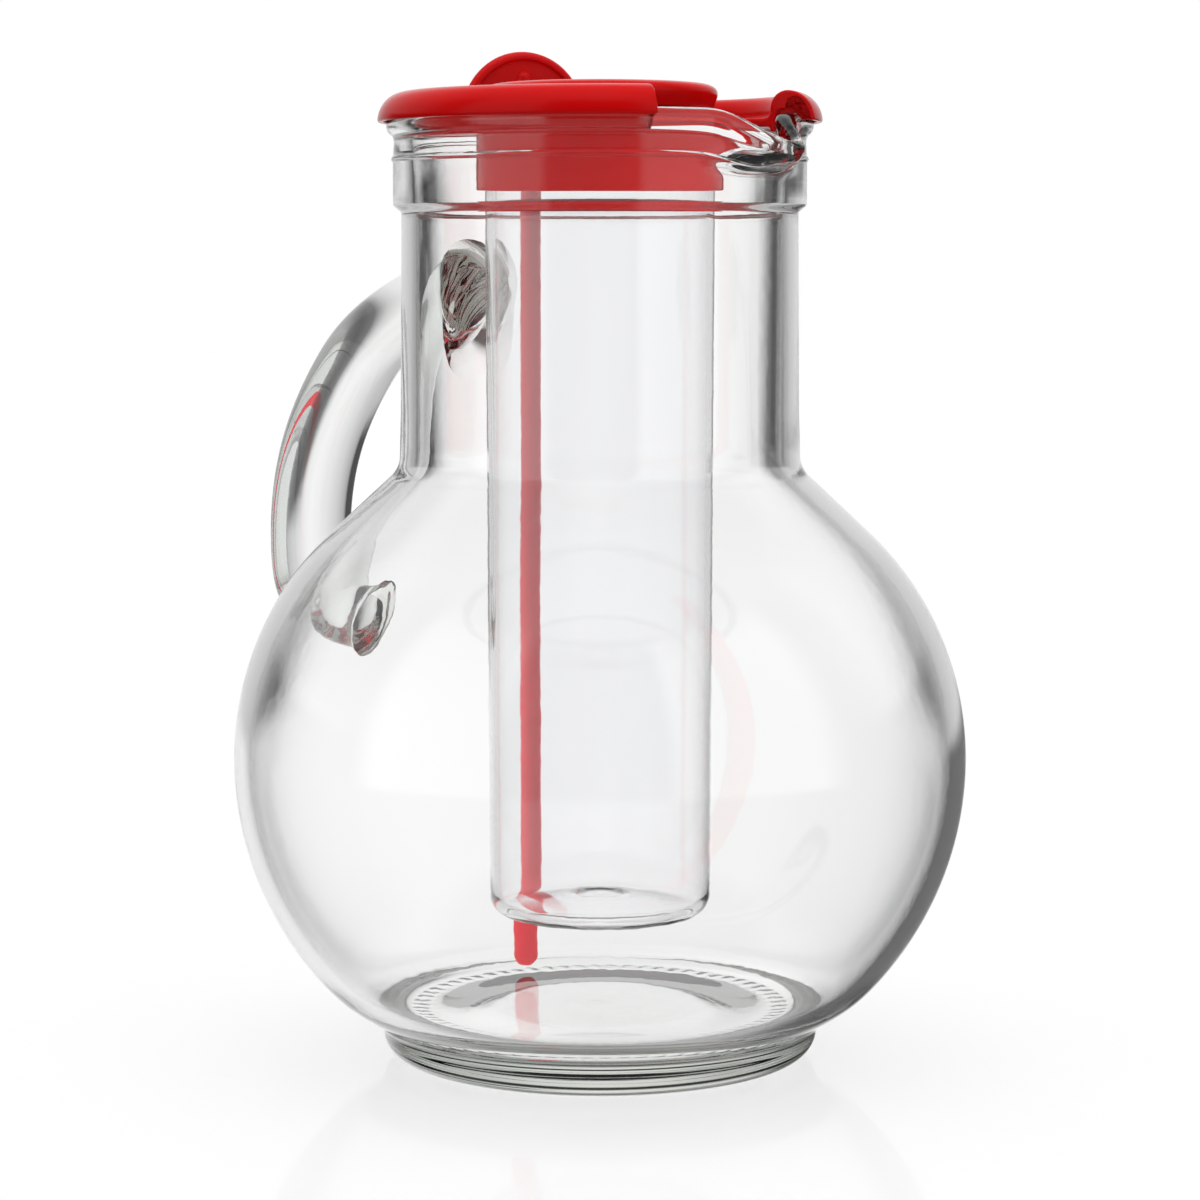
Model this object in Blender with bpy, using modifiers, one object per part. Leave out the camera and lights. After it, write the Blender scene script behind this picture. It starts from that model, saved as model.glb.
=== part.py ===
"""Juice carafe: ball-shaped glass jug with an applied handle and a pinched
spout, a snap-over lid with a pouring gap, a drop-in ice tube with its cap,
and a stirrer that hangs through the lid.

Units are metres, +Z is up, +X points to the spout, -X to the handle.
The jug stands on z = 0 and its turning axis is at x = AXIS_X.
"""
import math

import bmesh
import bpy
from mathutils import Matrix, Vector

MM = 0.001

# ---------------------------------------------------------------- dimensions
# All in millimetres, radii from the jug's axis and heights from the table.
AXIS_X = 9.87             # puts the outline's middle over the origin

# glass jug
FOOT_R = 50.8
FOOT_FILLET = 6.2
RING_IN = 40.6             # inner edge of the flat bearing ring
PUNT_Z = 3.4
BALL_R = 85.0
BALL_Z = 70.0
BALL_UP_R = 72.0           # upper arc of the ball
BALL_LOW_R = 76.8          # lower arc of the ball
WALL_BALL = 3.6
FLOOR_Z = 12.0
NECK_R = 46.0
NECK_IN = 42.2
COLLAR_R = 47.25
COLLAR_Z = 197.3
BEAD_R = 2.6
RIM_OUT = 49.0
RIM_Z = 218.2
SPOUT_REACH = 15.0
SPOUT_DIP = 7.4
HANDLE_T = 15.0            # in the plane of the loop
HANDLE_W = 21.0            # across it
HANDLE_OUT = 97.22         # centre line's furthest reach
HANDLE_TOP = 180.7
HANDLE_FOOT = 95.5

# lid
LID_R = 51.0
LID_LOW = 216.4
LID_TOP = 223.2
LID_CROWN_R = 44.6
LEG_IN = 40.7              # inner face of the rim channel
DECK_LOW = 215.0
DECK_TOP = 217.0
COLLAR_OUT = 28.4          # sleeve that guides the ice tube
COLLAR_IN = 27.0
COLLAR_LOW = 198.0
POUR_FROM = -33.7          # pouring gap in the flange, degrees from the spout
POUR_TO = 22.0
POUR_R = 34.0

# ice tube and its cap
TUBE_TOP_R = 26.5
TUBE_LOW_R = 25.75
TUBE_WALL = 1.6
TUBE_FLANGE_R = 29.2
TUBE_LOW = 33.0
CAP_R = 27.0
CAP_TOP = 225.2

# stirrer
ROD_R = 2.9
ROD_TIP = 13.5
ROD_HEAD = 229.8
STIR_R = 33.06             # rod's place on the lid
STIR_ANGLE = 165.4
GRIP_R = 15.2
GRIP_Z = 219.0
GRIP_T = 3.0
GRIP_TURN = 62.0           # direction of the half disc's length

GAP = 0.3                  # clearance between neighbours

# ------------------------------------------------------------------- helpers
for old in list(bpy.data.objects):
    bpy.data.objects.remove(old, do_unlink=True)

scene = bpy.context.scene
parts = bpy.data.collections.new("juice_carafe")
cutters = bpy.data.collections.new("cutters")
scene.collection.children.link(parts)
scene.collection.children.link(cutters)


def arc(cr, cz, ra, rb, a0, a1, n):
    """Points of an elliptical arc in the (radius, height) plane."""
    out = []
    for i in range(n + 1):
        a = math.radians(a0 + (a1 - a0) * i / n)
        out.append((cr + ra * math.cos(a), cz + rb * math.sin(a)))
    return out


def link(obj, coll):
    coll.objects.link(obj)
    return obj


def bake(obj, name, coll):
    """Turn a modified object or a curve into a plain welded mesh object."""
    bpy.context.view_layer.update()
    deps = bpy.context.evaluated_depsgraph_get()
    mesh = bpy.data.meshes.new_from_object(obj.evaluated_get(deps))
    matrix = obj.matrix_world.copy()
    bpy.data.objects.remove(obj, do_unlink=True)
    bm = bmesh.new()
    bm.from_mesh(mesh)
    bmesh.ops.remove_doubles(bm, verts=bm.verts, dist=1e-6)
    bmesh.ops.recalc_face_normals(bm, faces=bm.faces)
    bm.to_mesh(mesh)
    bm.free()
    mesh.name = name
    new = bpy.data.objects.new(name, mesh)
    new.matrix_world = matrix
    return link(new, coll)


def turned(name, profile, steps, coll, closed=False):
    """Profile (radius, height) in mm, running down its outer side, turned on Z."""
    mesh = bpy.data.meshes.new(name)
    verts = [(r * MM, 0.0, z * MM) for r, z in profile]
    edges = [(i, i + 1) for i in range(len(verts) - 1)]
    if closed:
        edges.append((len(verts) - 1, 0))
    mesh.from_pydata(verts, edges, [])
    obj = link(bpy.data.objects.new(name + "_profile", mesh), coll)
    mod = obj.modifiers.new("turn", 'SCREW')
    mod.axis = 'Z'
    mod.angle = math.tau
    mod.steps = steps
    mod.render_steps = steps
    mod.use_merge_vertices = True
    mod.merge_threshold = 0.00001
    return bake(obj, name, coll)


def as_cutter(obj):
    obj.display_type = 'WIRE'
    obj.hide_render = True
    return obj


def combine(obj, other, operation):
    mod = obj.modifiers.new(operation.lower(), 'BOOLEAN')
    mod.operation = operation
    mod.solver = 'EXACT'
    mod.object = other
    return mod


def material(name, color, roughness, transmission=0.0, alpha=1.0):
    mat = bpy.data.materials.new(name)
    mat.use_nodes = True
    bsdf = mat.node_tree.nodes["Principled BSDF"]
    bsdf.inputs["Base Color"].default_value = (*color, 1.0)
    bsdf.inputs["Roughness"].default_value = roughness
    bsdf.inputs["Metallic"].default_value = 0.0
    bsdf.inputs["IOR"].default_value = 1.5
    bsdf.inputs["Transmission Weight"].default_value = transmission
    bsdf.inputs["Alpha"].default_value = alpha
    return mat


def finish(obj, mat, angle=35.0):
    obj.data.materials.clear()
    obj.data.materials.append(mat)
    obj.data.shade_smooth()
    obj.data.set_sharp_from_angle(angle=math.radians(angle))
    obj.parent = root


root = link(bpy.data.objects.new("carafe_axis", None), parts)
root.empty_display_size = 0.05
root.location = (AXIS_X * MM, 0.0, 0.0)


# ----------------------------------------------------------------- glass jug
def spout(obj):
    """Draw the rim out and down into a pinched lip on the +X side."""
    span = RIM_Z - COLLAR_Z
    for v in obj.data.vertices:
        x, y, z = (c / MM for c in v.co)
        r = math.hypot(x, y)
        if z <= COLLAR_Z or r < 1.0:
            continue
        s = min((z - COLLAR_Z) / span, 1.0)
        a = math.degrees(math.atan2(y, x))
        half = 14.4 - 7.4 * s
        w = s ** 1.4 * math.exp(-math.log(2.0) * (a / half) ** 2)
        k = (r + SPOUT_REACH * w) / r
        v.co = Vector((x * k, y * k, z - SPOUT_DIP * w)) * MM


STEPS = 64
bead_c = (RIM_OUT - BEAD_R, RIM_Z - BEAD_R)
outer = [(0.0, RIM_Z), (40.0, RIM_Z)]
outer += arc(*bead_c, BEAD_R, BEAD_R, 90, -58, 4)
outer += [(COLLAR_R, RIM_Z - 5.7), (COLLAR_R, 205.0), (COLLAR_R, COLLAR_Z + 1.2)]
outer += [(COLLAR_R - 0.5, COLLAR_Z), (NECK_R - 0.25, COLLAR_Z - 1.2)]
outer += [(NECK_R - 0.4, 190.0), (NECK_R, 146.0)]
outer += arc(NECK_R + 6.2, 141.6, 6.2, 6.2, 180, 228, 2)
upper_c = BALL_R - BALL_UP_R
outer += arc(upper_c, BALL_Z, BALL_UP_R, BALL_UP_R, 49, 0, 6)
lower_c = BALL_R - BALL_LOW_R
outer += arc(lower_c, BALL_Z, BALL_LOW_R, BALL_LOW_R, -8, -54.5, 6)
outer += arc(FOOT_R - FOOT_FILLET, FOOT_FILLET, FOOT_FILLET, FOOT_FILLET, -8, -90, 3)
outer += [(RING_IN, 0.0), (RING_IN - 1.8, 0.9), (RING_IN - 4.5, 2.4), (20.0, PUNT_Z), (0.0, PUNT_Z)]

inner = [(0.0, RIM_Z + 8.0), (RIM_OUT - BEAD_R, RIM_Z + 8.0)]
inner += [(RIM_OUT - BEAD_R - 0.2, RIM_Z + 0.5)]
inner += [(44.2, RIM_Z - 0.7), (43.5, RIM_Z - 2.2), (43.3, 211.0)]
inner += [(42.7, 203.0), (NECK_IN, 192.0), (NECK_IN + 0.2, 146.0)]
inner += arc(NECK_IN + 10.4, 140.6, 10.0, 10.0, 178, 229, 2)
inner += arc(upper_c, BALL_Z, BALL_UP_R - WALL_BALL, BALL_UP_R - WALL_BALL, 48, 0, 5)
inner += arc(lower_c, BALL_Z, BALL_LOW_R - WALL_BALL, BALL_LOW_R - WALL_BALL, -10, -40, 3)
inner += arc(44.0, FLOOR_Z + 13.0, 17.5, 13.0, -34, -90, 3)
inner += [(22.0, FLOOR_Z + 0.2), (0.0, FLOOR_Z + 0.5)]

glass_jug = turned("glass_jug", outer, STEPS, parts)
spout(glass_jug)
cavity = as_cutter(turned("jug_inside", inner, STEPS, cutters))
spout(cavity)

cavity.parent = root
combine(glass_jug, cavity, 'DIFFERENCE')
finish(glass_jug, material("clear_glass", (0.93, 0.96, 0.94), 0.03, 1.0))

# Handle: a gather of glass of its own, pressed on the neck and the ball. One
# curve from the neck out and down to the ball, widened at both ends,
# flattened across the loop and trimmed to the wall that it sits on.
curve = bpy.data.curves.new("handle_curve", 'CURVE')
curve.dimensions = '3D'
curve.resolution_u = 10
curve.render_resolution_u = 0
curve.bevel_depth = HANDLE_T / 2 * MM
curve.bevel_resolution = 4
curve.use_fill_caps = True
spline = curve.splines.new('BEZIER')
spline.bezier_points.add(2)
knots = (
    # point, handle before, handle after, thickness
    ((NECK_R - 9.0, HANDLE_TOP + 2.4), (20.0, 190.0), (80.0, 167.0), 1.15),
    ((HANDLE_OUT, 116.0), (HANDLE_OUT, 140.4), (HANDLE_OUT, 104.0), 1.0),
    ((71.0, HANDLE_FOOT - 0.3), (91.0, 96.0), (60.0, 95.0), 1.2),
)
for bp, (co, before, after, thick) in zip(spline.bezier_points, knots):
    bp.handle_left_type = bp.handle_right_type = 'FREE'
    bp.co = (-co[0] * MM, 0.0, co[1] * MM)
    bp.handle_left = (-before[0] * MM, 0.0, before[1] * MM)
    bp.handle_right = (-after[0] * MM, 0.0, after[1] * MM)
    bp.radius = thick
glass_handle = link(bpy.data.objects.new("handle_curve", curve), parts)
glass_handle = bake(glass_handle, "glass_handle", parts)
glass_handle.data.transform(Matrix.Diagonal((1.0, HANDLE_W / HANDLE_T, 1.0, 1.0)))

seat = [(r + GAP, z) for r, z in outer if 30.0 < z < 200.0]
seat = [(0.0, seat[0][1])] + seat + [(0.0, seat[-1][1])]
handle_seat = as_cutter(turned("handle_seat", seat, STEPS, cutters))
handle_seat.parent = root
combine(glass_handle, handle_seat, 'DIFFERENCE')
finish(glass_handle, material("clear_glass_handle", (0.93, 0.96, 0.94), 0.03, 1.0))

# ----------------------------------------------------------------------- lid
LID_STEPS = 48
lid_profile = arc(LID_CROWN_R, LID_LOW, LID_R - LID_CROWN_R, LID_TOP - LID_LOW, 90, 0, 6)
lid_profile += [(49.5, LID_LOW), (49.5, 218.2)]
lid_profile += arc(46.9, 218.4, 2.4, 2.8, 20, 90, 3)
lid_profile += [(45.4, 220.6), (44.9, RIM_Z + GAP), (42.9, RIM_Z + GAP)]
lid_profile += [(42.2, 213.8), (LEG_IN, 213.8), (LEG_IN - 0.1, DECK_LOW)]
lid_profile += [(COLLAR_OUT + 0.8, DECK_LOW), (COLLAR_OUT, DECK_LOW - 0.8)]
lid_profile += [(COLLAR_OUT, COLLAR_LOW), (COLLAR_IN, COLLAR_LOW), (COLLAR_IN, DECK_TOP)]
lid_profile += [(LEG_IN - 1.2, DECK_TOP), (LEG_IN - 0.3, DECK_TOP + 0.6)]
lid_profile += arc(LID_CROWN_R, 219.2, LID_CROWN_R - LEG_IN, LID_TOP - 219.2, 180, 115, 3)
lid = turned("lid", lid_profile, LID_STEPS, parts, closed=True)

# pouring gap: a sector cut through flange and deck, next to the spout
sector = bpy.data.curves.new("pour_gap", 'CURVE')
sector.dimensions = '2D'
sector.fill_mode = 'BOTH'
sector.extrude = 15.0 * MM
sector.resolution_u = 1
sector.render_resolution_u = 0
ring = []
for i in range(9):
    ring.append((POUR_R, POUR_FROM + (POUR_TO - POUR_FROM) * i / 8))
for i in range(9):
    ring.append((60.0, POUR_TO + (POUR_FROM - POUR_TO) * i / 8))
line = sector.splines.new('POLY')
line.points.add(len(ring) - 1)
line.use_cyclic_u = True
for point, (r, a) in zip(line.points, ring):
    a = math.radians(a)
    point.co = (r * math.cos(a) * MM, r * math.sin(a) * MM, 0.0, 1.0)
pour_gap = link(bpy.data.objects.new("pour_gap_outline", sector), cutters)
pour_gap.location = (0.0, 0.0, 218.0 * MM)
pour_gap = as_cutter(bake(pour_gap, "pour_gap", cutters))

stir_a = math.radians(STIR_ANGLE)
stir_x, stir_y = STIR_R * math.cos(stir_a), STIR_R * math.sin(stir_a)
bpy.ops.mesh.primitive_cylinder_add(vertices=20, radius=(ROD_R + 0.6) * MM, depth=8 * MM,
                                    location=(stir_x * MM, stir_y * MM, 216.0 * MM))
rod_hole = bpy.context.active_object
rod_hole.name = "rod_hole"
for c in list(rod_hole.users_collection):
    c.objects.unlink(rod_hole)
as_cutter(link(rod_hole, cutters))
for tool in (pour_gap, rod_hole):
    tool.parent = root
combine(lid, pour_gap, 'DIFFERENCE')
combine(lid, rod_hole, 'DIFFERENCE')
red_lid = material("red_plastic_lid", (0.62, 0.006, 0.008), 0.32)
finish(lid, red_lid)

# ------------------------------------------------------------------ ice tube
TUBE_STEPS = 40
flange_low = DECK_TOP + GAP
flange_top = flange_low + 1.7
in_top = TUBE_TOP_R - TUBE_WALL
in_low = TUBE_LOW_R - TUBE_WALL
tube_profile = [(0.0, TUBE_LOW + 5.0), (10.0, TUBE_LOW + 4.4), (19.0, TUBE_LOW + 2.2)]
tube_profile += arc(in_low - 2.6, TUBE_LOW + 4.2, 2.6, 2.6, -78, 0, 3)
tube_profile += [(in_top, flange_top - 0.4), (in_top + 0.4, flange_top)]
tube_profile += [(TUBE_FLANGE_R, flange_top), (TUBE_FLANGE_R, flange_low), (TUBE_TOP_R, flange_low)]
tube_profile += arc(TUBE_LOW_R - 4.0, TUBE_LOW + 4.0, 4.0, 4.0, 0, -90, 4)
tube_profile += [(19.0, TUBE_LOW + 0.4), (10.0, TUBE_LOW + 2.7), (0.0, TUBE_LOW + 3.4)]
ice_tube = turned("ice_tube", tube_profile, TUBE_STEPS, parts)
finish(ice_tube, material("clear_plastic", (0.94, 0.93, 0.95), 0.08, 0.95))

# ------------------------------------------------------------------- ice cap
ledge = flange_top + GAP
cap_profile = [(0.0, CAP_TOP), (18.0, CAP_TOP - 0.1)]
cap_profile += arc(CAP_R - 2.2, CAP_TOP - 2.3, 2.2, 2.1, 80, 0, 4)
cap_profile += [(24.8, 220.9), (25.9, ledge + 0.7), (25.9, ledge)]
cap_profile += [(in_top - 0.4, ledge), (in_top - 0.6, 213.0), (in_top - 2.1, 213.0)]
cap_profile += [(in_top - 2.1, ledge), (CAP_R - 2.2, CAP_TOP - 2.4), (CAP_R - 3.2, CAP_TOP - 1.7)]
cap_profile += [(0.0, CAP_TOP - 1.6)]
ice_cap = turned("ice_cap", cap_profile, TUBE_STEPS, parts)
finish(ice_cap, material("red_plastic_cap", (0.62, 0.006, 0.008), 0.32))

# ------------------------------------------------------------------- stirrer
rod_profile = arc(0.0, ROD_HEAD - 2.1, 2.1, 2.1, 90, 15, 3)
rod_profile += [(ROD_R, 221.5)]
rod_profile += arc(0.0, ROD_TIP + ROD_R, ROD_R, ROD_R, 0, -90, 4)
stirrer = turned("stirrer", rod_profile, 16, parts)

plate = bpy.data.curves.new("grip_outline", 'CURVE')
plate.dimensions = '2D'
plate.fill_mode = 'BOTH'
plate.bevel_depth = 0.8 * MM
plate.bevel_resolution = 1
plate.extrude = GRIP_T / 2 * MM - plate.bevel_depth
plate.offset = -plate.bevel_depth
plate.resolution_u = 1
plate.render_resolution_u = 0
drop = GRIP_Z - (DECK_TOP + GAP)
low = math.degrees(math.asin(drop / GRIP_R))
rim = arc(0.0, 0.0, GRIP_R, GRIP_R, -low, 180 + low, 22)
edge = plate.splines.new('POLY')
edge.points.add(len(rim) - 1)
edge.use_cyclic_u = True
for point, (u, v) in zip(edge.points, rim):
    point.co = (u * MM, v * MM, 0.0, 1.0)
grip = link(bpy.data.objects.new("grip_outline", plate), cutters)
grip.matrix_world = (Matrix.Translation((0.0, 0.0, GRIP_Z * MM))
                     @ Matrix.Rotation(math.radians(GRIP_TURN), 4, 'Z')
                     @ Matrix.Rotation(math.radians(90.0), 4, 'X'))
grip = as_cutter(bake(grip, "grip_plate", cutters))
stirrer.location = grip.location = (stir_x * MM, stir_y * MM, 0.0)
grip.location.z = GRIP_Z * MM
grip.parent = root
combine(stirrer, grip, 'UNION')
finish(stirrer, material("red_plastic_stirrer", (0.50, 0.006, 0.008), 0.38))
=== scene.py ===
import math

import bmesh
import bpy
import numpy as np
from mathutils import Matrix, Vector


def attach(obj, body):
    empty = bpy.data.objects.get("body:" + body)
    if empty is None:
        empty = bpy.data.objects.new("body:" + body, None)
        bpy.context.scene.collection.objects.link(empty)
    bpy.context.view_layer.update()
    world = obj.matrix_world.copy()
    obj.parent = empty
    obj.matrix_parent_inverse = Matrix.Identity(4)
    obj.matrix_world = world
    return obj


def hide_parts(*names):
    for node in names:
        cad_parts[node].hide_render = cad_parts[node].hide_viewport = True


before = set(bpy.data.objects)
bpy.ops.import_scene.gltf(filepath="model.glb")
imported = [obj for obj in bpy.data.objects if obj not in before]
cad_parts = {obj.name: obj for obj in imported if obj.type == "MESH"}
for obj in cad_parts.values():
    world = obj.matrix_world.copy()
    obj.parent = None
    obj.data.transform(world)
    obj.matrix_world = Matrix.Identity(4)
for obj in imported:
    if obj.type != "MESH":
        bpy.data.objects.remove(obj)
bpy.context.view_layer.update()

MM = 0.001
AX = 9.87                    # the jug's turning axis, mm along +X
rad = math.radians

# ------------------------------------------------------------------ helpers


def arc(cr, cz, ra, rb, a0, a1, n):
    t = np.radians(np.linspace(a0, a1, n + 1))
    return [(cr + ra * math.cos(a), cz + rb * math.sin(a)) for a in t]


def line(p, q, n):
    return [(p[0] + (q[0] - p[0]) * k / n, p[1] + (q[1] - p[1]) * k / n) for k in range(n + 1)]


def bezier(p0, p1, p2, p3, n):
    out = []
    for k in range(n + 1):
        t = k / n
        w = ((1 - t) ** 3, 3 * t * (1 - t) ** 2, 3 * t * t * (1 - t), t ** 3)
        out.append(tuple(sum(c * p[i] for c, p in zip(w, (p0, p1, p2, p3))) for i in (0, 1)))
    return out


def ease(p, q, n):
    """S-shaped step from p to q, level with the second coordinate at both ends."""
    out = []
    for k in range(n + 1):
        t = k / n
        s = 0.5 - 0.5 * math.cos(math.pi * t)
        out.append((p[0] + (q[0] - p[0]) * s, p[1] + (q[1] - p[1]) * t))
    return out


def ease_out(p, q, n):
    """S-shaped step from p to q, level with the first coordinate at both ends."""
    return [(p[0] + (q[0] - p[0]) * k / n, p[1] + (q[1] - p[1]) * (0.5 - 0.5 * math.cos(math.pi * k / n)))
            for k in range(n + 1)]


def chain(*runs):
    pts = []
    for run in runs:
        for p in run:
            if not pts or math.hypot(p[0] - pts[-1][0], p[1] - pts[-1][1]) > 0.02:
                pts.append((float(p[0]), float(p[1])))
    return pts


def from_arrays(name, verts, faces):
    mesh = bpy.data.meshes.new(name)
    mesh.from_pydata([tuple(v) for v in verts], [], faces)
    mesh.validate()
    obj = bpy.data.objects.new(name, mesh)
    bpy.context.scene.collection.objects.link(obj)
    return obj


def fix_normals(obj):
    bm = bmesh.new()
    bm.from_mesh(obj.data)
    bmesh.ops.recalc_face_normals(bm, faces=bm.faces)
    bm.to_mesh(obj.data)
    bm.free()


def lathe(name, prof, n, closed=False, shape=None, scale=MM):
    """Turn a (radius, height) line in mm. Ends on the axis become poles.
    shape(x, y, z) may move each array of points, in mm about the axis."""
    ang = np.arange(n) * 2 * math.pi / n
    ca, sa = np.cos(ang), np.sin(ang)
    rings, verts, count = [], [], 0
    for r, z in prof:
        if r < 1e-6:
            verts.append(np.array([[0.0, 0.0, z]]))
            rings.append((count, 1))
            count += 1
        else:
            verts.append(np.stack([r * ca, r * sa, np.full(n, z)], 1))
            rings.append((count, n))
            count += n
    v = np.concatenate(verts)
    if shape is not None:
        v = shape(v)
    faces = []
    pairs = list(zip(rings[:-1], rings[1:]))
    if closed:
        pairs.append((rings[-1], rings[0]))
    for (a, na), (b, nb) in pairs:
        for i in range(n):
            j = (i + 1) % n
            if na == 1:
                faces.append((a, b + i, b + j))
            elif nb == 1:
                faces.append((a + i, a + j, b))
            else:
                faces.append((a + i, a + j, b + j, b + i))
    obj = from_arrays(name, v * scale, faces)
    fix_normals(obj)
    return obj


def apply(obj):
    """Replace an object's mesh by its evaluated mesh."""
    bpy.context.view_layer.update()
    deps = bpy.context.evaluated_depsgraph_get()
    mesh = bpy.data.meshes.new_from_object(obj.evaluated_get(deps))
    obj.modifiers.clear()
    old = obj.data
    obj.data = mesh
    mesh.name = obj.name
    bpy.data.meshes.remove(old)
    return obj


def boolean(obj, tool, op, solver='MANIFOLD'):
    mod = obj.modifiers.new(op, 'BOOLEAN')
    mod.operation = op
    mod.solver = solver
    mod.object = tool
    apply(obj)
    bpy.data.objects.remove(tool, do_unlink=True)
    return obj


def tidy(obj):
    """Merge points that a Boolean has left in one place."""
    bm = bmesh.new()
    bm.from_mesh(obj.data)
    bmesh.ops.remove_doubles(bm, verts=bm.verts, dist=0.000002)
    bm.to_mesh(obj.data)
    bm.free()


def smooth(obj, angle):
    obj.data.shade_smooth()
    obj.data.set_sharp_from_angle(angle=rad(angle))


def crease(obj, belongs):
    """Sharp edge between the faces for which belongs() holds and the rest, so
    that neither side's shading is bent by the other along a Boolean's seam."""
    bm = bmesh.new()
    bm.from_mesh(obj.data)
    own = {f: belongs(f) for f in bm.faces}
    for e in bm.edges:
        if len(e.link_faces) == 2 and own[e.link_faces[0]] != own[e.link_faces[1]]:
            e.smooth = False
    bm.to_mesh(obj.data)
    bm.free()


def place(obj):
    """Shift a mesh that was made about the jug's axis to its place in the frame."""
    obj.data.transform(Matrix.Translation((AX * MM, 0.0, 0.0)))
    obj.data.update()
    return obj


# ---------------------------------------------------------------- materials


def nodes_of(name):
    mat = bpy.data.materials.new(name)
    mat.use_nodes = True
    nt = mat.node_tree
    return mat, nt, nt.nodes["Principled BSDF"], nt.nodes["Material Output"]


def node(nt, kind, **props):
    n = nt.nodes.new(kind)
    for k, v in props.items():
        setattr(n, k, v)
    return n


def coords(nt, scale=(1, 1, 1)):
    tc = node(nt, "ShaderNodeTexCoord")
    mp = node(nt, "ShaderNodeMapping")
    mp.inputs["Scale"].default_value = scale
    nt.links.new(tc.outputs["Object"], mp.inputs["Vector"])
    return mp.outputs["Vector"]


def noise(nt, vec, scale, detail=2.0, rough=0.5):
    n = node(nt, "ShaderNodeTexNoise")
    n.inputs["Scale"].default_value = scale
    n.inputs["Detail"].default_value = detail
    n.inputs["Roughness"].default_value = rough
    nt.links.new(vec, n.inputs["Vector"])
    return n.outputs["Fac"]


def span(nt, value, a, b, lo, hi):
    m = node(nt, "ShaderNodeMapRange")
    m.inputs["From Min"].default_value = a
    m.inputs["From Max"].default_value = b
    m.inputs["To Min"].default_value = lo
    m.inputs["To Max"].default_value = hi
    nt.links.new(value, m.inputs["Value"])
    return m.outputs["Result"]


def blend(nt, fac, a, b):
    m = node(nt, "ShaderNodeMix", data_type='RGBA')
    m.inputs["A"].default_value = (*a, 1.0)
    m.inputs["B"].default_value = (*b, 1.0)
    nt.links.new(fac, m.inputs["Factor"])
    # the colour result is the third output of a Mix node
    return m.outputs[2]


def bump(nt, height, strength, distance, normal=None):
    b = node(nt, "ShaderNodeBump")
    b.inputs["Strength"].default_value = strength
    b.inputs["Distance"].default_value = distance
    nt.links.new(height, b.inputs["Height"])
    if normal is not None:
        nt.links.new(normal, b.inputs["Normal"])
    return b.outputs["Normal"]


def glass_material():
    mat, nt, bsdf, out = nodes_of("jug_glass")
    bsdf.inputs["Transmission Weight"].default_value = 1.0
    bsdf.inputs["IOR"].default_value = 1.515
    vec = coords(nt)
    tall = coords(nt, (1.0, 1.0, 0.35))
    tone = noise(nt, vec, 24.0, 2.0)
    nt.links.new(blend(nt, tone, (0.985, 0.992, 0.988), (1.0, 1.0, 1.0)), bsdf.inputs["Base Color"])
    nt.links.new(span(nt, noise(nt, vec, 60.0, 3.0), 0.35, 0.75, 0.0, 0.012), bsdf.inputs["Roughness"])
    wave = bump(nt, noise(nt, tall, 45.0, 1.0, 0.4), 0.02, 0.0015)
    ripple = bump(nt, noise(nt, vec, 300.0, 1.0, 0.4), 0.012, 0.0006, wave)
    nt.links.new(ripple, bsdf.inputs["Normal"])
    vol = node(nt, "ShaderNodeVolumeAbsorption")
    vol.inputs["Color"].default_value = (0.80, 0.82, 0.785, 1.0)
    vol.inputs["Density"].default_value = 18.0
    nt.links.new(vol.outputs["Volume"], out.inputs["Volume"])
    return mat


def clear_plastic_material():
    mat, nt, bsdf, out = nodes_of("tube_clear_plastic")
    bsdf.inputs["Transmission Weight"].default_value = 1.0
    bsdf.inputs["IOR"].default_value = 1.47
    vec = coords(nt)
    tall = coords(nt, (1.0, 1.0, 0.12))
    streak = noise(nt, tall, 140.0, 3.0)
    nt.links.new(blend(nt, streak, (0.955, 0.952, 0.965), (0.985, 0.984, 0.99)), bsdf.inputs["Base Color"])
    nt.links.new(span(nt, noise(nt, vec, 90.0, 3.0), 0.3, 0.75, 0.015, 0.05), bsdf.inputs["Roughness"])
    nt.links.new(bump(nt, streak, 0.012, 0.0008), bsdf.inputs["Normal"])
    return mat


def red_material(name, base, deep, rough_lo, rough_hi, grain=0.04, painted_light_below_lid=None):
    """Moulded red plastic. The optional last colour is painted below the lid: a paler, brighter red, painted light that
    stands in for the brighter light the rod gets inside the jug.
    """
    mat, nt, bsdf, out = nodes_of(name)
    bsdf.inputs["IOR"].default_value = 1.5
    bsdf.inputs["Specular IOR Level"].default_value = 0.09
    vec = coords(nt)
    mottle = noise(nt, vec, 55.0, 4.0, 0.6)
    colour = blend(nt, span(nt, mottle, 0.3, 0.72, 0.0, 1.0), deep, base)
    if painted_light_below_lid is not None:
        # painted light: below the lid the colour turns to a paler, brighter red, standing in for the brighter light on
        # the rod inside the jug
        part = node(nt, "ShaderNodeSeparateXYZ")
        nt.links.new(vec, part.inputs[0])
        lip_thinning_and_painted_light = node(nt, "ShaderNodeMix", data_type='RGBA')
        nt.links.new(span(nt, part.outputs["Z"], 0.213, 0.205, 0.0, 1.0), lip_thinning_and_painted_light.inputs["Factor"])
        nt.links.new(colour, lip_thinning_and_painted_light.inputs[6])
        lip_thinning_and_painted_light.inputs[7].default_value = (*painted_light_below_lid, 1.0)
        colour = lip_thinning_and_painted_light.outputs[2]
    nt.links.new(colour, bsdf.inputs["Base Color"])
    nt.links.new(span(nt, noise(nt, vec, 180.0, 3.0), 0.3, 0.7, rough_lo, rough_hi), bsdf.inputs["Roughness"])
    low = bump(nt, noise(nt, vec, 60.0, 1.0), 0.02, 0.0008)
    fine = bump(nt, noise(nt, vec, 2600.0, 2.0, 0.6), grain, 0.0002, low)
    nt.links.new(fine, bsdf.inputs["Normal"])
    return mat


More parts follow.
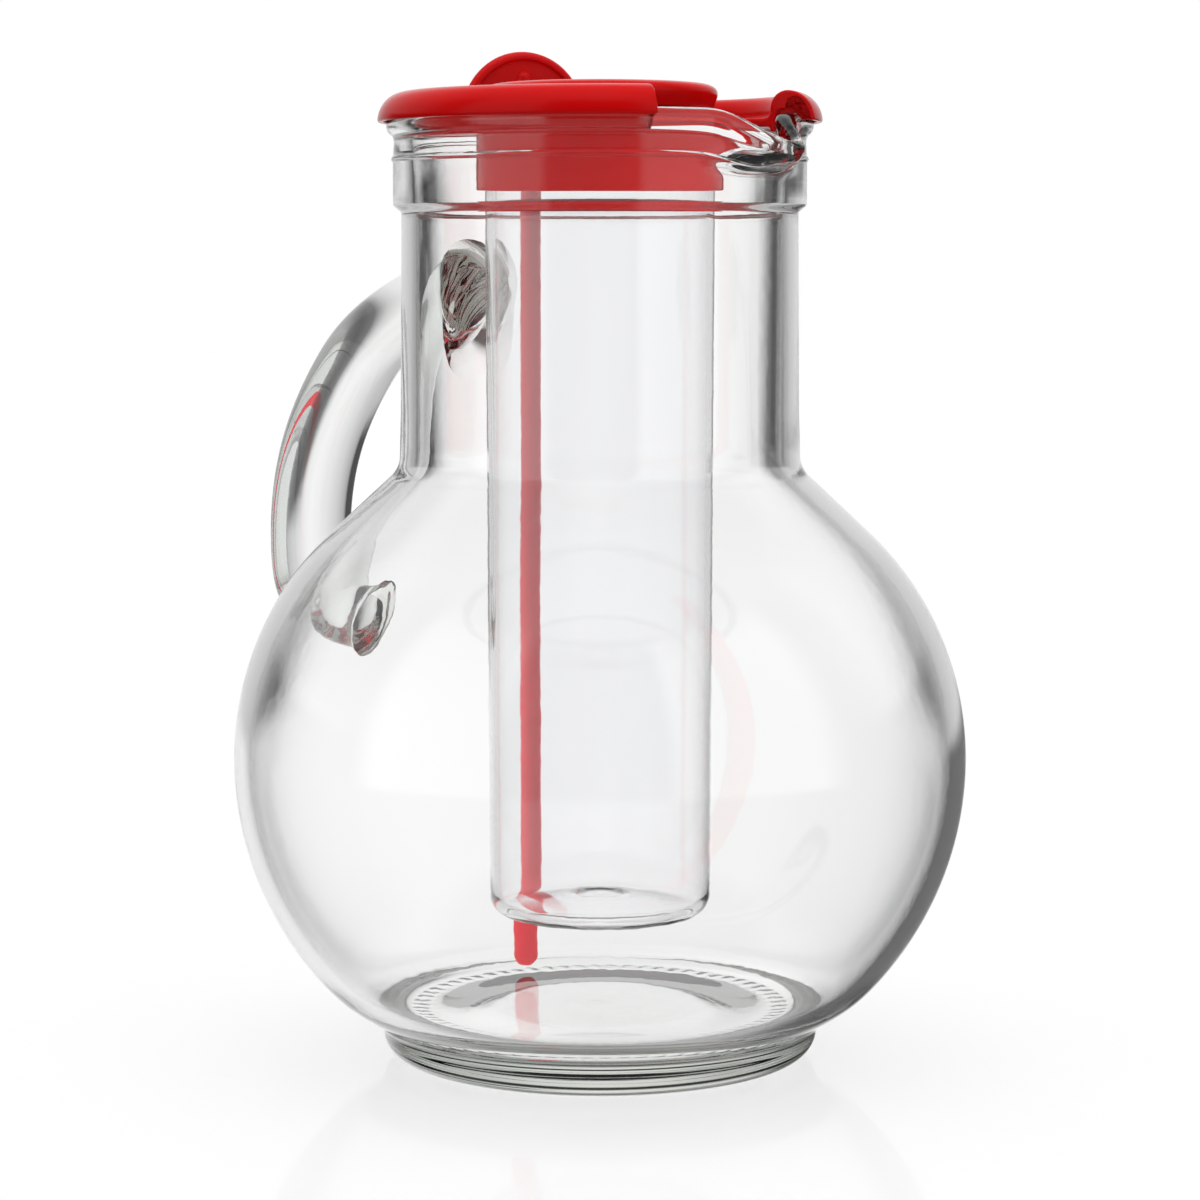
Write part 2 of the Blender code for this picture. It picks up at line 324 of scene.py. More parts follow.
def floor_material():
    mat, nt, bsdf, out = nodes_of("pale_floor")
    vec = coords(nt)
    tone = noise(nt, vec, 3.0, 2.0)
    nt.links.new(blend(nt, tone, (0.84, 0.84, 0.845), (0.86, 0.86, 0.862)), bsdf.inputs["Base Color"])
    bsdf.inputs["Roughness"].default_value = 1.0
    bsdf.inputs["Specular IOR Level"].default_value = 0.0
    glow = node(nt, "ShaderNodeEmission")
    glow.inputs["Strength"].default_value = 1.03
    soft = node(nt, "ShaderNodeMixShader")
    soft.inputs["Fac"].default_value = 0.22
    gloss = node(nt, "ShaderNodeBsdfGlossy")
    gloss.inputs["Roughness"].default_value = 0.06
    mix = node(nt, "ShaderNodeMixShader")
    mix.inputs["Fac"].default_value = 0.11
    nt.links.new(glow.outputs["Emission"], soft.inputs[1])
    nt.links.new(bsdf.outputs["BSDF"], soft.inputs[2])
    nt.links.new(soft.outputs["Shader"], mix.inputs[1])
    nt.links.new(gloss.outputs["BSDF"], mix.inputs[2])
    nt.links.new(mix.outputs["Shader"], out.inputs["Surface"])
    return mat


# ---------------------------------------------------------------- glass jug
RIM_Z, COLLAR_Z = 218.2, 197.3
SPOUT_REACH, SPOUT_DIP = 10.8, 7.4
TURNS = 264                  # points round the jug
TICKS = 66                   # gripping ticks round the bearing ring

foot = chain(
    line((0.0, 2.5), (23.0, 2.4), 8),
    ease_out((23.0, 2.4), (41.0, 0.0), 18),
    line((41.0, 0.0), (44.6, 0.0), 6),
    arc(44.6, 6.2, 6.2, 6.2, -90, 0, 14),
)
body = chain(
    bezier((50.8, 6.2), (51.1, 9.6), (58.3, 11.0), (64.37, 17.62), 12),
    arc(8.2, 70.0, 76.8, 76.8, -43, 0, 22),
    arc(13.0, 70.0, 72.0, 72.0, 0, 47, 24),
    line((62.1, 122.66), (48.52, 135.37), 6),
    bezier((48.52, 135.37), (46.9, 136.9), (46.3, 138.4), (46.3, 140.6), 9),
    line((46.3, 140.6), (46.0, 150.0), 4),
    line((46.0, 150.0), (45.6, 195.6), 14),
)
collar = chain(
    ease((45.6, 195.6), (47.5, 197.9), 12),
    line((47.5, 197.9), (47.5, 207.3), 10),
    [(47.5 + 0.42 * math.sin(math.pi * k / 8), 207.3 + 1.5 * k / 8) for k in range(9)],
    line((47.45, 208.8), (47.3, 211.4), 3),
    bezier((47.3, 211.4), (47.2, 212.5), (47.4, 213.1), (47.9, 213.47), 5),
    arc(46.4, 215.6, 2.6, 2.6, -55, 90, 16),
)
inside = chain(
    line((46.4, 218.2), (45.6, 218.2), 2),
    arc(45.6, 216.0, 2.2, 2.2, 90, 180, 9),
    bezier((43.4, 216.0), (43.3, 208.0), (42.4, 203.0), (42.3, 194.0), 18),
    line((42.3, 194.0), (42.2, 150.0), 12),
    line((42.2, 150.0), (42.3, 140.6), 4),
    bezier((42.3, 140.6), (42.3, 137.5), (43.2, 135.4), (45.5, 133.2), 9),
    line((45.5, 133.2), (59.65, 120.02), 6),
    arc(13.0, 70.0, 68.4, 68.4, 47, 0, 22),
    arc(8.2, 70.0, 73.2, 73.2, 0, -40, 20),
    bezier((64.27, 22.95), (57.2, 14.5), (51.0, 12.0), (42.0, 12.0), 14),
    line((42.0, 12.0), (0.0, 12.5), 10),
)
outer_line = chain(foot, body, collar)


def jug_shape(v):
    x, y, z = v[:, 0].copy(), v[:, 1].copy(), v[:, 2].copy()
    r = np.hypot(x, y)
    a = np.degrees(np.arctan2(y, x))
    # faint mould seams on the neck, in line with spout and handle
    side = np.minimum(np.abs(a), 180.0 - np.abs(a))
    outer_face = (r > 44.9) & (z > 7.0) & (r > 44.9 + np.clip((z - 216.0), 0, 9))
    seam = 0.015 * np.exp(-(side * np.pi / 180 * r / 0.7) ** 2) * np.clip((z - 120.0) / 20.0, 0.15, 1.0)
    r2 = np.where(outer_face & (z < 212.0), r + seam, r)
    # gripping ticks under the bearing ring
    ring = np.clip((r - 40.9) / 0.8, 0, 1) * np.clip((45.6 - r) / 0.9, 0, 1) * (z < 0.6)
    tick = 0.5 - 0.5 * np.cos(np.radians(a) * TICKS)
    z = z + 0.28 * ring * tick
    # spout: the rim is drawn out and down into a pinched lip
    s = np.clip((z - COLLAR_Z) / (RIM_Z - COLLAR_Z), 0.0, 1.0)
    half = 14.4 - 7.4 * s
    # the bead keeps its thickness, the wall under it stays round, and the
    # channel inside starts a little higher than the bulge outside
    start = 203.0 + 2.2 * np.clip((46.2 - r) / 2.0, 0.0, 1.0)
    t = np.clip((z - start) / 10.4, 0.0, 1.0)
    w = t * t * (3.0 - 2.0 * t) * np.exp(-math.log(2.0) * (a / half) ** 2)
    w = np.where(r > 1.0, w, 0.0)
    r3 = r2 - 0.28 * w * (r2 - 46.2) + SPOUT_REACH * w ** 1.15
    k = np.where(r > 1e-6, r3 / np.maximum(r, 1e-6), 1.0)
    # toward its tip the lip thins from below
    lip_thinning_and_painted_light = 0.32 * np.clip((218.2 - z) / 4.7, 0.0, 1.0) * np.exp(-math.log(2.0) * (a / 5.0) ** 2)
    return np.stack([x * k, y * k, z - SPOUT_DIP * w * (1.0 - lip_thinning_and_painted_light)], 1)


def outer_radius(z):
    """Outer radius of the jug's wall at a height, above the foot."""
    zs = [p[1] for p in body + collar[:20]]
    rs = [p[0] for p in body + collar[:20]]
    return np.interp(z, zs, rs)


def sweep(name, path, size, n_round, caps=5):
    """Solid bar with an oval section along a line in the XZ plane, x being
    minus the distance from the axis. size(t) gives its thickness in the plane
    and its width across. Near the wall it flares out into a fillet, with a
    pointed drawn tail on the side that faces the finger gap."""
    pts = np.array(path)
    d = np.gradient(pts, axis=0)
    d /= np.linalg.norm(d, axis=1)[:, None]
    nrm = np.stack([-d[:, 1], d[:, 0]], 1)
    ang = np.arange(n_round) * 2 * math.pi / n_round
    c, s = np.cos(ang), np.sin(ang)
    m = len(pts)
    rows = [(i, *size(i / (m - 1)), 1.0) for i in range(m)]
    full = [(0, *rows[0][1:3], k / caps) for k in range(1, caps)] + rows
    full += [(m - 1, *rows[-1][1:3], k / caps) for k in range(caps - 1, 0, -1)]
    verts = []
    for i, thick, wide, f in full:
        off_n = c * thick / 2 * f
        off_w = s * wide / 2 * f
        p = pts[i][None] + nrm[i][None] * off_n[:, None]
        r = np.hypot(p[:, 0], off_w)
        gap = (r - outer_radius(p[:, 1])) * 0.94
        near = np.clip(1.0 - np.maximum(gap, -1.6) / FLARE_HIGH, 0.0, 2.0)
        tail = (TAIL_TOP if i < m / 2 else TAIL_LOW) * np.maximum(0.0, -c) ** 5
        over = (FLARE * near ** 2 + tail * near ** 1.15) * f
        size_n = np.maximum(np.hypot(off_n, off_w), 1e-6)
        p = p + nrm[i][None] * (over * off_n / size_n)[:, None]
        off_w = off_w + over * off_w / size_n
        # what has flared out keeps its height over the wall where it lands
        hug = np.clip(near, 0.0, 1.0)
        r = np.hypot(p[:, 0], off_w)
        land = (outer_radius(p[:, 1]) + gap / 0.94) / np.maximum(r, 1e-6)
        p[:, 0] *= 1.0 + hug * (land - 1.0)
        off_w = off_w * (1.0 + hug * (land - 1.0))
        verts.append(np.stack([-p[:, 0], off_w, p[:, 1]], 1))
    rings = len(verts)
    v = np.concatenate(verts + [np.array([[-pts[0][0], 0.0, pts[0][1]], [-pts[-1][0], 0.0, pts[-1][1]]])])
    faces = []
    for k in range(rings - 1):
        for i in range(n_round):
            j = (i + 1) % n_round
            faces.append((k * n_round + i, k * n_round + j, (k + 1) * n_round + j, (k + 1) * n_round + i))
    for i in range(n_round):
        j = (i + 1) % n_round
        faces.append((rings * n_round, j, i))
        faces.append((rings * n_round + 1, (rings - 1) * n_round + i, (rings - 1) * n_round + j))
    # the ends stay inside the wall: no deeper than 1.8 mm under its surface
    r = np.hypot(v[:, 0], v[:, 1])
    least = outer_radius(v[:, 2]) - 1.8
    k = np.where(r < least, least / np.maximum(r, 1e-6), 1.0)
    v[:, 0] *= k
    v[:, 1] *= k
    obj = from_arrays(name, v * MM, faces)
    fix_normals(obj)
    return obj


FLARE, FLARE_HIGH, TAIL_TOP, TAIL_LOW = 1.9, 5.0, 13.0, 0.0
loop = chain(
    bezier((42.0, 180.2), (60.0, 173.9), (72.0, 169.3), (80.56, 159.3), 46),
    bezier((80.56, 159.3), (93.0, 144.7), (97.6, 131.5), (97.6, 116.5), 40),
    bezier((97.6, 116.5), (97.6, 104.9), (95.6, 99.9), (86.6, 99.5), 28),
    line((86.6, 99.5), (72.0, 98.2), 18),
)


def loop_size(t):
    """Thickness and width along the handle: drawn narrower where it lands on the ball."""
    k = min(1.0, max(0.0, (t - 0.77) / 0.17))
    k = k * k * (3.0 - 2.0 * k)
    pinch = min(1.0, max(0.0, (t - 0.80) / 0.09))
    pinch = pinch * pinch * (3.0 - 2.0 * pinch)
    return 16.9 - 0.9 * k + 1.6 * pinch, 22.6 - 9.2 * k - 3.4 * pinch


jug = lathe("glass_jug_clear", chain(foot, body, collar, inside), TURNS, shape=jug_shape)
handle = sweep("handle", loop, loop_size, 56)
boolean(jug, handle, 'UNION')
tidy(jug)
smooth(jug, 40)


def on_handle(face):
    """Whether a face stands off the wall, or leans away from it."""
    c = face.calc_center_median() / MM
    if c.x > -30.0 or not 70.0 < c.z < 200.0 or math.hypot(c.x, c.y) < outer_radius(c.z) - 1.0:
        return False
    if any(abs(math.hypot(v.co.x, v.co.y) / MM - outer_radius(v.co.z / MM)) > 0.06 for v in face.verts):
        return True
    slope = (outer_radius(c.z + 0.5) - outer_radius(c.z - 0.5))
    n = Vector((c.x / math.hypot(c.x, c.y), c.y / math.hypot(c.x, c.y), -slope)).normalized()
    return face.normal.dot(n) < math.cos(rad(6))


crease(jug, on_handle)
place(jug)

# ---------------------------------------------------------------------- lid
POUR_FROM, POUR_TO, POUR_R = -33.7, 22.0, 34.0

# section of the rolled flange with its inner leg and the deck's outer part
section = chain(
    arc(44.6, 216.4, 6.4, 6.8, 90, 6, 16),
    [(50.95, 216.75), (50.75, 216.45), (50.4, 216.4), (49.9, 216.42), (49.62, 216.6), (49.55, 217.0)],
    line((49.55, 217.0), (49.5, 218.2), 2),
    arc(46.9, 218.4, 2.55, 2.8, 8, 90, 8),
    [(46.0, 221.15), (45.3, 220.7), (45.0, 219.9), (44.95, 218.8), (44.75, 218.5), (43.1, 218.5), (42.85, 218.3)],
    line((42.8, 217.8), (42.3, 214.3), 5),
    [(42.1, 213.95), (41.6, 213.8), (41.1, 213.85), (40.78, 214.1), (40.66, 214.6), (40.5, 214.9), (40.0, 215.0)],
    line((39.0, 215.0), (33.0, 215.0), 4),
    line((33.0, 217.0), (38.9, 217.0), 4),
    bezier((38.9, 217.0), (40.0, 217.0), (40.6, 217.6), (40.7, 218.8), 5),
    arc(44.6, 219.2, 3.9, 4.0, 178, 92, 12),
)


def inset(sec, d):
    p = np.array(sec)
    e = np.roll(p, -1, 0) - p
    e /= np.linalg.norm(e, axis=1)[:, None]
    n_edge = np.stack([-e[:, 1], e[:, 0]], 1)
    n = n_edge + np.roll(n_edge, 1, 0)
    n /= np.maximum(np.linalg.norm(n, axis=1), 1e-6)[:, None]
    area = 0.5 * np.sum(p[:, 0] * np.roll(p[:, 1], -1) - np.roll(p[:, 0], -1) * p[:, 1])
    return p + n * d * (1 if area > 0 else -1)


def swept_ring(name, sec, a0, a1, n, fillet):
    """A section turned from a0 to a1 degrees, with rounded-off ends."""
    arc_mm = rad(a1 - a0) * 46.0
    stations = []
    k_end = 6
    for k in range(k_end + 1):
        t = math.pi / 2 * k / k_end
        stations.append((fillet * (1 - math.cos(t)), fillet * (1 - math.sin(t))))
    spots = [(a0 + math.degrees(d / 46.0), i) for d, i in stations]
    inner_a = spots[-1][0]
    outer_a = a1 - math.degrees(stations[-1][0] / 46.0)
    for k in range(1, n):
        spots.append((inner_a + (outer_a - inner_a) * k / n, 0.0))
    spots += [(a1 - math.degrees(d / 46.0), i) for d, i in reversed(stations)]
    m = len(sec)
    verts, faces = [], []
    for a, i in spots:
        p = inset(sec, i)
        verts.append(np.stack([p[:, 0] * math.cos(rad(a)), p[:, 0] * math.sin(rad(a)), p[:, 1]], 1))
    for s in range(len(spots) - 1):
        for i in range(m):
            j = (i + 1) % m
            faces.append((s * m + i, s * m + j, (s + 1) * m + j, (s + 1) * m + i))
    faces.append(tuple(range(m)))
    faces.append(tuple((len(spots) - 1) * m + i for i in reversed(range(m))))
    obj = from_arrays(name, np.concatenate(verts) * MM, faces)
    bm = bmesh.new()
    bm.from_mesh(obj.data)
    bmesh.ops.triangulate(bm, faces=[f for f in bm.faces if len(f.verts) > 4])
    bmesh.ops.recalc_face_normals(bm, faces=bm.faces)
    bm.to_mesh(obj.data)
    bm.free()
    return obj


flange = swept_ring("lid_red", section, POUR_TO, 360.0 + POUR_FROM, 150, 0.7)
sleeve = chain(
    [(34.0, 216.0), (33.93, 216.45), (33.7, 216.8), (33.3, 216.98)],
    line((33.0, 217.0), (28.0, 217.0), 4),
    arc(27.6, 216.4, 0.6, 0.6, 90, 180, 4),
    line((27.0, 216.4), (27.0, 200.3), 11),
    [(27.1, 200.0), (27.4, 199.9), (28.0, 199.9), (28.3, 200.0), (28.4, 200.3)],
    line((28.4, 200.3), (28.4, 213.6), 9),
    arc(29.8, 213.6, 1.4, 1.4, 180, 90, 5),
    line((29.8, 215.0), (33.3, 215.0), 3),
    [(33.7, 215.18), (33.93, 215.55)],
)
hub = lathe("lid_hub", sleeve, 168, closed=True)
lid = boolean(flange, hub, 'UNION')

STIR_R, STIR_A = 33.06, 165.4
SX, SY = STIR_R * math.cos(rad(STIR_A)), STIR_R * math.sin(rad(STIR_A))
hole = lathe("rod_hole", chain([(0.0, 217.6)], [(4.3, 217.6), (4.0, 217.0), (3.5, 216.5)],
                               line((3.5, 216.5), (3.5, 215.4), 2), [(3.9, 214.9), (4.2, 214.2), (0.0, 214.2)]), 40)
hole.data.transform(Matrix.Translation((SX * MM, SY * MM, 0.0)))
boolean(lid, hole, 'DIFFERENCE')
tidy(lid)
smooth(lid, 32)
place(lid)

# ----------------------------------------------------------------- ice tube
tube_line = chain(
    line((0.0, 37.3), (5.0, 37.28), 4),
    [(5.3, 37.35), (5.6, 37.6), (5.9, 37.68)],
    bezier((5.9, 37.68), (12.0, 37.4), (17.0, 35.4), (20.6, 34.75), 10),
    bezier((20.6, 34.75), (22.8, 34.5), (24.1, 35.6), (24.2, 38.4), 8),
    line((24.2, 38.4), (24.9, 218.4), 40),
    arc(25.5, 218.4, 0.6, 0.6, 180, 90, 4),
    line((25.5, 219.0), (28.7, 219.0), 4),
    arc(28.7, 218.5, 0.5, 0.5, 90, 0, 3),
    arc(28.7, 217.8, 0.5, 0.5, 0, -90, 3),
    line((28.7, 217.3), (26.9, 217.3), 2),
    [(26.6, 217.2), (26.5, 216.9)],
    line((26.5, 216.9), (25.75, 37.2), 40),
    arc(21.75, 37.0, 4.0, 4.0, 0, -80, 10),
    bezier((21.0, 33.02), (17.0, 33.5), (12.0, 35.8), (6.2, 36.1), 10),
    [(5.8, 36.15), (5.5, 36.4), (5.2, 36.45)],
    line((5.0, 36.45), (0.0, 36.45), 4),
)
tube = lathe("ice_tube_clear", tube_line, 144)
smooth(tube, 32)
place(tube)

# ------------------------------------------------------------------ ice cap
cap_line = chain(
    line((0.0, 224.75), (20.5, 224.75), 8),
    bezier((20.5, 224.75), (22.0, 224.75), (22.2, 225.2), (23.4, 225.2), 6),
    bezier((23.4, 225.2), (25.4, 225.1), (27.0, 224.3), (27.0, 222.9), 10),
    bezier((27.0, 222.9), (27.0, 222.2), (26.6, 221.4), (26.3, 220.5), 6),
    line((26.3, 220.5), (26.05, 219.75), 2),
    [(25.95, 219.5), (25.8, 219.36), (25.6, 219.3)],
    line((25.4, 219.3), (24.7, 219.3), 2),
    line((24.45, 219.1), (24.3, 213.5), 5),
    [(24.15, 213.15), (23.8, 213.0), (23.2, 213.0), (22.9, 213.2)],
    line((22.8, 213.5), (22.85, 219.6), 4),
    bezier((22.85, 219.6), (22.9, 221.4), (24.9, 221.8), (24.8, 222.9), 6),
    bezier((24.8, 222.9), (24.7, 223.3), (24.0, 223.3), (23.0, 223.2), 4),
    line((23.0, 223.2), (0.0, 223.1), 8),
)
cap = lathe("ice_cap_red", cap_line, 128)
smooth(cap, 32)
place(cap)

# ------------------------------------------------------------------ stirrer
GRIP_R, GRIP_Z, GRIP_LOW, GRIP_TURN = 15.2, 219.0, 217.3, 62.0


def half_disc(d, n_arc=72, n_flat=28):
    """Outline of the grip, drawn in by d: a disc cut off by a flat foot."""
    r = GRIP_R - d
    y0 = GRIP_LOW - GRIP_Z + d
    a = math.degrees(math.asin(max(-1.0, min(1.0, y0 / r))))
    out = arc(0.0, 0.0, r, r, a, 180 - a, n_arc)
    x = r * math.cos(rad(a))
    out += [(-x + 2 * x * k / n_flat, y0) for k in range(1, n_flat)]
    return out


# (drawn in, half thickness): rounded rim, then a step down to the web
steps = [(0.0, 0.0), (0.06, 0.42), (0.25, 0.85), (0.55, 1.2), (0.85, 1.42), (1.15, 1.5), (1.55, 1.5),
         (1.8, 1.45), (1.95, 1.25), (2.05, 1.02), (2.2, 0.9), (2.6, 0.86), (4.5, 0.86), (6.6, 0.86)]
rows, faces = [], []
up = [np.array([(u, h, v) for u, v in half_disc(d)]) for d, h in steps]
down = [np.array([(u, -h, v) for u, v in half_disc(d)]) for d, h in steps[1:]]
stack = list(reversed(down)) + up
m = len(stack[0])
for k in range(len(stack) - 1):
    for i in range(m):
        j = (i + 1) % m
        faces.append((k * m + i, k * m + j, (k + 1) * m + j, (k + 1) * m + i))
faces.append(tuple(range(m)))
faces.append(tuple((len(stack) - 1) * m + i for i in reversed(range(m))))
grip = from_arrays("stirrer_red", np.concatenate(stack) * MM, faces)
bm = bmesh.new()
bm.from_mesh(grip.data)
bmesh.ops.triangulate(bm, faces=[f for f in bm.faces if len(f.verts) > 4])
bmesh.ops.recalc_face_normals(bm, faces=bm.faces)
bm.to_mesh(grip.data)
bm.free()
grip.data.transform(Matrix.Translation((0.0, 0.0, GRIP_Z * MM)) @ Matrix.Rotation(rad(GRIP_TURN), 4, 'Z'))

rod_line = chain(
    arc(0.0, 227.9, 2.05, 1.9, 90, 10, 9),
    bezier((2.02, 228.2), (2.25, 226.2), (2.8, 224.0), (2.9, 221.0), 8),
    line((2.9, 221.0), (2.9, 16.4), 40),
    arc(0.0, 16.4, 2.9, 2.9, 0, -90, 10),
)
rod_line[0] = (0.0, rod_line[0][1])
rod_line[-1] = (0.0, rod_line[-1][1])
rod = lathe("rod", rod_line, 40)
stirrer = boolean(grip, rod, 'UNION')
stirrer.data.transform(Matrix.Translation((SX * MM, SY * MM, 0.0)))
smooth(stirrer, 32)
facing = Vector((-math.sin(rad(GRIP_TURN)), math.cos(rad(GRIP_TURN)), 0.0))
crease(stirrer, lambda face: abs(face.normal.dot(facing)) > 0.9999)
place(stirrer)

# -------------------------------------------------------------- assignments
red = red_material("red_gloss_plastic", (0.60, 0.0034, 0.0038), (0.56, 0.003, 0.0034), 0.15, 0.21)
# the stirrer's rod is painted a brighter red below the lid: painted light
red_satin = red_material("red_satin_plastic", (0.62, 0.006, 0.007), (0.56, 0.005, 0.006), 0.30, 0.42, 0.10,
                         (0.93, 0.05, 0.065))
clear = glass_material()
plastic = clear_plastic_material()
for obj, mat, bod, cad, slot in (
        (jug, clear, "jug", ("glass_jug", "glass_handle"), "clear_glass"),
        (lid, red, "lid", ("lid",), "red_plastic"),
        (tube, plastic, "ice_tube", ("ice_tube",), "clear_plastic"),
        (cap, red, "ice_cap", ("ice_cap",), "red_plastic"),
        (stirrer, red_satin, "stirrer", ("stirrer",), "red_plastic")):
    obj.data.materials.clear()
    obj.data.materials.append(mat)
    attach(obj, bod)
    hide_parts(*cad)

# -------------------------------------------------------------------- stage
bpy.ops.mesh.primitive_circle_add(vertices=96, radius=6.0, fill_type='NGON', location=(0.0, 0.0, -0.0002))
ground = bpy.context.active_object
ground.name = "floor"
ground.data.materials.append(floor_material())
ground.visible_diffuse = False
ground.visible_glossy = False
ground.visible_transmission = False
ground.visible_shadow = False

VIEW = 42.0                  # the photograph's direction round the jug
DIST, EYE, PITCH = 0.7973, 0.18507, 5.63
cam_data = bpy.data.cameras.new("camera")
cam_data.lens = 103.39
cam_data.sensor_width = 36.0
cam_data.clip_start = 0.01
cam_data.clip_end = 50.0
cam = bpy.data.objects.new("camera", cam_data)
bpy.context.scene.collection.objects.link(cam)
cam.location = (AX * MM + DIST * math.sin(rad(VIEW)), -DIST * math.cos(rad(VIEW)), EYE)
cam.rotation_euler = (rad(90.0 - PITCH), 0.0, rad(VIEW))
bpy.context.scene.camera = cam

# soft studio: a white surround with a few dark gaps that draw the glass edges
world = bpy.data.worlds.new("studio")
bpy.context.scene.world = world
world.use_nodes = True
nt = world.node_tree
nt.nodes.clear()
tc = node(nt, "ShaderNodeTexCoord")


def dot(axis):
    n = node(nt, "ShaderNodeVectorMath", operation='DOT_PRODUCT')
    nt.links.new(tc.outputs["Generated"], n.inputs[0])
    n.inputs[1].default_value = axis
    return n.outputs["Value"]


def math_node(op, a, b=None):
    n = node(nt, "ShaderNodeMath", operation=op)
    for i, v in enumerate((a, b)):
        if v is None:
            continue
        if isinstance(v, (int, float)):
            n.inputs[i].default_value = v
        else:
            nt.links.new(v, n.inputs[i])
    return n.outputs[0]


right = dot((math.cos(rad(VIEW)), math.sin(rad(VIEW)), 0.0))
toward = dot((math.sin(rad(VIEW)), -math.cos(rad(VIEW)), 0.0))
height = dot((0.0, 0.0, 1.0))
turn = math_node('ARCTAN2', right, toward)
place_on = math_node('ADD', math_node('MULTIPLY', turn, 0.5 / math.pi), 0.5)
# degrees round from the camera's side, and brightness in parts of TOP
TOP = 2.2


def band(stops):
    """Brightness round the studio at one height."""
    ramp = node(nt, "ShaderNodeValToRGB")
    nt.links.new(place_on, ramp.inputs["Fac"])
    els = ramp.color_ramp.elements
    els[0].position, els[1].position = 0.0, 1.0
    for a, v in stops[1:-1]:
        els.new((a + 180.0) / 360.0)
    for e, (a, v) in zip(els, stops):
        e.color = (v / TOP, v / TOP, v / TOP, 1.0)
    return ramp.outputs["Color"]


def step(value, lo, hi):
    """0 below lo, 1 above hi, smooth between."""
    n = node(nt, "ShaderNodeMapRange")
    n.interpolation_type = 'SMOOTHSTEP'
    n.inputs["From Min"].default_value = lo
    n.inputs["From Max"].default_value = hi
    nt.links.new(value, n.inputs["Value"])
    return n.outputs["Result"]


def fade(fac, a, b):
    m = node(nt, "ShaderNodeMix", data_type='RGBA')
    nt.links.new(fac, m.inputs["Factor"])
    nt.links.new(a, m.inputs[6])
    if isinstance(b, float):
        m.inputs[7].default_value = (b / TOP, b / TOP, b / TOP, 1.0)
    else:
        nt.links.new(b, m.inputs[7])
    return m.outputs[2]


seen = node(nt, "ShaderNodeLightPath")


def count_over(n):
    """1 for light that has crossed more than n surfaces, else 0."""
    return math_node('MAXIMUM', math_node('MINIMUM', math_node('SUBTRACT', seen.outputs["Transmission Depth"], float(n)), 1.0), 0.0)


# what is seen through the jug's two walls is bright all round, but for two
# narrow gaps beside the backdrop. What one wall mirrors or turns round, and
# the solid handle, also meets the dark side of the room.
past_wall, past_jug = count_over(2), count_over(4)
front = ((-82, 0.05), (-78, 0.5), (-74, 0.95), (-34, 0.95), (-28, 0.04), (-8, 0.01), (20, 0.03), (25, 0.95), (73, 0.95),
         (78, 0.5), (85, 0.05))
two = band(((-180, 0.97), (-172, 1.05), (-170, 0.94), (-168, 0.52), (-165.7, 0.04), (-157, 0.03), (-154, 0.38),
            (-150, 0.68), (-140, 0.85), (0, 0.90), (140, 0.85), (150, 0.68), (154, 0.38), (157, 0.03), (165.7, 0.04),
            (168, 0.52), (170, 0.94), (172, 1.05), (180, 0.97)))
one = band(((-180, 1.0), (-170, 0.90), (-160, 0.75), (-150, 0.62), (-141, 0.45), (-136, 0.06), (-82, 0.05)) + front[1:-1]
           + ((85, 0.10), (136, 0.10), (141, 0.45), (150, 0.62), (160, 0.75), (170, 0.90), (180, 1.0)))
many = band(((-180, 1.08), (-170, 1.0), (-160, 0.86), (-150, 0.76), (-135, 0.82), (-110, 0.92), (0, 0.98), (110, 0.92),
             (135, 0.82), (150, 0.76), (160, 0.86), (170, 1.0), (180, 1.08)))
lower_two = band(((-180, 0.98), (-170, 1.14), (-152, 1.22), (-130, 0.95), (0, 0.92), (120, 0.90), (138, 0.50), (146, 0.05),
                  (156, 0.08), (161, 0.58), (164, 0.78), (168, 0.86), (171, 1.0), (180, 0.98)))
lower_one = band(((-180, 1.0), (-150, 0.95), (-144, 0.60), (-137, 0.06), (-85, 0.06), (-60, 0.45), (50, 0.45), (75, 0.11),
                  (160, 0.08), (166, 0.17), (170, 0.70), (174, 1.0), (180, 1.0)))
upper = band(((-180, 1.0), (-168, 0.90), (-155, 0.65), (-108, 0.60), (-98, 0.30), (-82, 0.10)) + front[1:-1]
             + ((85, 0.10), (98, 0.30), (108, 0.60), (155, 0.65), (168, 0.90), (180, 1.0)))
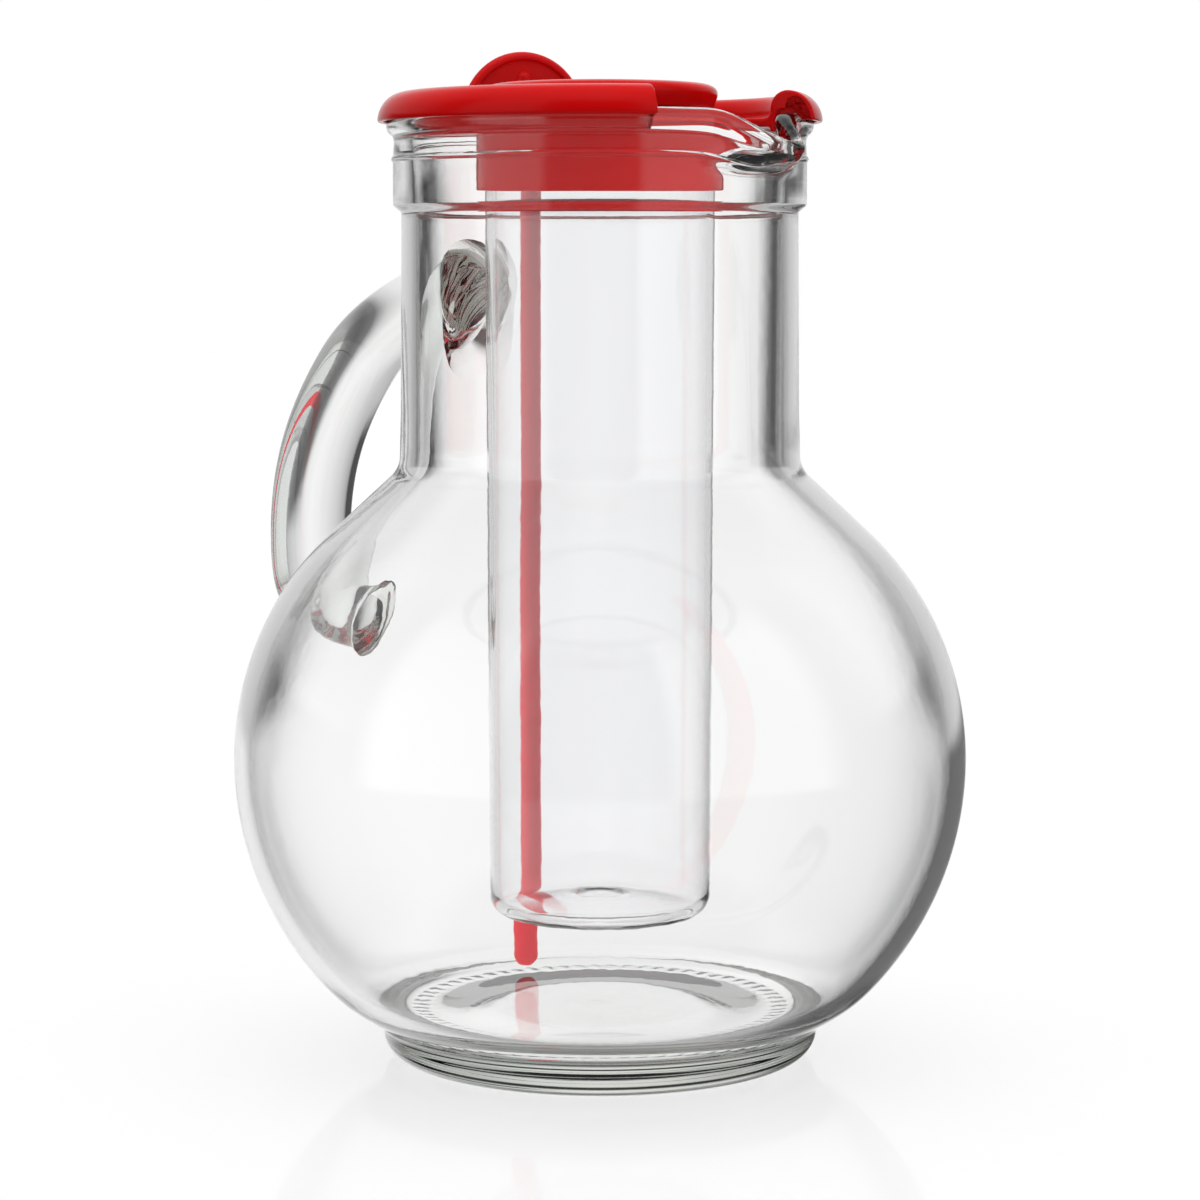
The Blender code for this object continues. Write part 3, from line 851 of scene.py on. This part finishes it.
inside_jug = fade(past_jug, two, many)
inside_low = fade(past_jug, fade(step(height, -0.60, -0.78), lower_two, 0.95), many)
beneath = fade(past_wall, fade(step(height, -0.60, -0.78), lower_one, 0.50), inside_low)
lift = math_node('ADD', height, math_node('MULTIPLY', past_wall, 0.01))
round_low = fade(step(lift, -0.12, -0.068), beneath, fade(past_wall, one, inside_jug))
round_high = fade(step(height, 0.11, 0.20), round_low, fade(past_wall, upper, inside_jug))
scattered = math_node('MINIMUM', seen.outputs["Diffuse Depth"], 1.0)
overhead = step(height, 0.70, 0.84)
# light turned round more than once, as in the handle's roots, sees one even grey
turned = math_node('MAXIMUM', math_node('MINIMUM', math_node('SUBTRACT', seen.outputs["Glossy Depth"], 1.0), 1.0), 0.0)
mirrored = fade(turned, fade(overhead, round_high, 0.35), 0.46)
diffused = fade(overhead, round_high, TOP)
studio_light = fade(scattered, mirrored, diffused)
studio = node(nt, "ShaderNodeBackground")
nt.links.new(studio_light, studio.inputs["Color"])
through = math_node('MINIMUM', seen.outputs["Transmission Depth"], 1.0)
fill = math_node('MULTIPLY', scattered, math_node('ADD', math_node('MULTIPLY', through, 0.45), 0.15))
nt.links.new(math_node('MULTIPLY', math_node('ADD', fill, 1.0), TOP), studio.inputs["Strength"])
plain = node(nt, "ShaderNodeBackground")
plain.inputs["Color"].default_value = (1.0, 1.0, 1.0, 1.0)
plain.inputs["Strength"].default_value = 1.0
pick = node(nt, "ShaderNodeMixShader")
nt.links.new(seen.outputs["Is Camera Ray"], pick.inputs["Fac"])
nt.links.new(studio.outputs["Background"], pick.inputs[1])
nt.links.new(plain.outputs["Background"], pick.inputs[2])
end = node(nt, "ShaderNodeOutputWorld")
nt.links.new(pick.outputs["Shader"], end.inputs["Surface"])

scene = bpy.context.scene
scene.view_settings.view_transform = 'Standard'
scene.view_settings.look = 'None'
scene.cycles.max_bounces = 32
scene.cycles.transmission_bounces = 32
scene.cycles.glossy_bounces = 12
scene.cycles.transparent_max_bounces = 16
